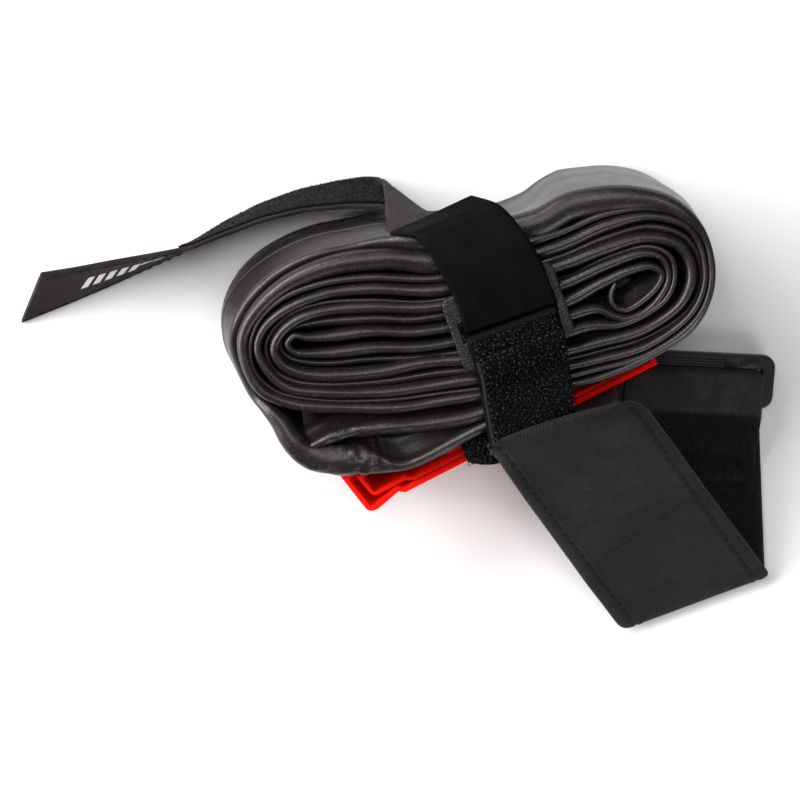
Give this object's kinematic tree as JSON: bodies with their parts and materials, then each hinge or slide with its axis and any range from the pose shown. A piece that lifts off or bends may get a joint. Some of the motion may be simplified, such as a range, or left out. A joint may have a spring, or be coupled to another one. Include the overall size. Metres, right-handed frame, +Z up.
{
  "type": "inner tube",
  "caption": "Rolled bicycle inner tube held by a hook-and-loop tube strap with nested tyre levers and a wide frame strap with a ring.",
  "frame": {"origin": "underside of the frame strap below the middle of the roll, on the surface that everything lies on", "axes": "+X along the roll towards the side with the wide ring, +Y across the roll towards its free strap end, +Z up, along the flat width of the rolled tube"},
  "size_m": [0.2394, 0.1731, 0.063],
  "materials": {
    "rubber": "matte butyl rubber with a soft sheen on the folds",
    "metal": "nickel-plated brass",
    "black_plastic": "moulded, fine pebble texture",
    "red_plastic": "moulded, glossy",
    "webbing": "smooth black webbing",
    "frame_fabric": "fine twill weave with a stitched edge",
    "hook_and_loop": "hook or loop pile"
  },
  "bodies": {
    "roll": {"inner_tube": "rubber", "valve_patch": "rubber", "valve_stem": "metal", "valve_core": "metal", "valve_core_nut": "metal", "rim_nut": "metal", "tube_strap_ring": "black_plastic", "tube_strap": "webbing", "tube_strap_hook_tape": "hook_and_loop", "frame_strap_base": "frame_fabric"},
    "valve_cap": {"valve_cap": "black_plastic"},
    "lever_outer": {"tyre_lever_outer": "red_plastic"},
    "lever_inner": {"tyre_lever_inner": "red_plastic"},
    "tail": {"tube_strap_tail": "webbing"},
    "front_flap": {"frame_strap_front_flap": "frame_fabric"},
    "return_flap": {"frame_strap_return_flap": "frame_fabric", "frame_strap_loop_tape": "hook_and_loop", "frame_strap_ring_tab": "frame_fabric"},
    "ring": {"frame_strap_ring": "black_plastic"}
  },
  "joints": [
    {"name": "cap_pull", "type": "slide", "parent": "roll", "child": "valve_cap", "axis": [0, 0, 1], "range_m": [0, 0.05]},
    {"name": "lever_outer_slide", "type": "slide", "parent": "roll", "child": "lever_outer", "axis": [-0.977, -0.213, 0], "range_m": [0, 0.125]},
    {"name": "lever_inner_slide", "type": "slide", "parent": "roll", "child": "lever_inner", "axis": [-0.977, -0.213, 0], "range_m": [0, 0.125]},
    {"name": "tail_swing", "type": "hinge", "parent": "roll", "child": "tail", "pos_m": [-0.013, 0.045, 0.015], "axis": [0, 0, -1], "range_deg": [0, 60]},
    {"name": "front_flap_lift", "type": "hinge", "parent": "roll", "child": "front_flap", "pos_m": [0.01712, -0.03813, 0.0598], "axis": [-0.977, -0.213, 0], "range_deg": [0, 100]},
    {"name": "return_flap_open", "type": "hinge", "parent": "front_flap", "child": "return_flap", "pos_m": [0.0525, -0.121, 0.0024], "axis": [-0.9938, -0.1115, 0], "range_deg": [0, 120]},
    {"name": "ring_tilt", "type": "hinge", "parent": "return_flap", "child": "ring", "pos_m": [0.06838, -0.0453, 0.0046], "axis": [0.9511, -0.309, 0], "range_deg": [-5, 10]}
  ],
  "couplings": [
    {"joint": "lever_inner_slide", "follows": "lever_outer_slide", "ratio": 1},
    {"joint": "return_flap_open", "follows": "front_flap_lift", "ratio": 1.2}
  ]
}
